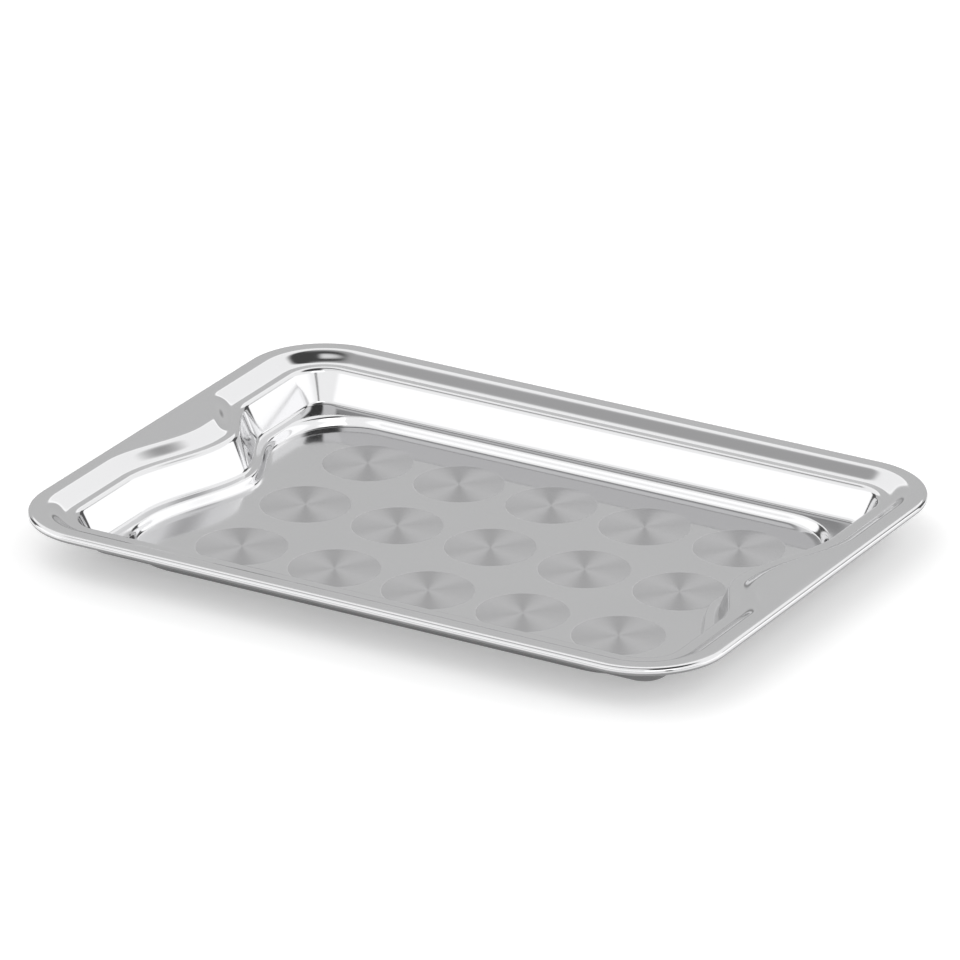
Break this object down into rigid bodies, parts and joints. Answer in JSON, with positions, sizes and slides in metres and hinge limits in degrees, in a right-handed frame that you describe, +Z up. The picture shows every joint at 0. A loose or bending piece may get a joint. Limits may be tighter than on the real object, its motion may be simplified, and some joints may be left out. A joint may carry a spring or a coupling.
{
  "type": "serving tray",
  "caption": "Rectangular polished steel serving tray with rounded corners, a rolled wired edge, stepped walls, S-shaped hand-holds at both ends and a flat floor.",
  "frame": {"origin": "centre of the flat underside, on the plane the tray rests on", "axes": "+X along the long sides, towards one of the two like ends; +Y across the tray, towards the other long side; +Z up, out of the tray's mouth"},
  "size_m": [0.4, 0.296, 0.027],
  "materials": {
    "polished_steel": "mirror polished, with round engine-turned marks on the floor",
    "wire_steel": "drawn, dull"
  },
  "bodies": {
    "root": {"tray_pressing": "polished_steel", "rim_wire": "wire_steel"}
  },
  "joints": []
}
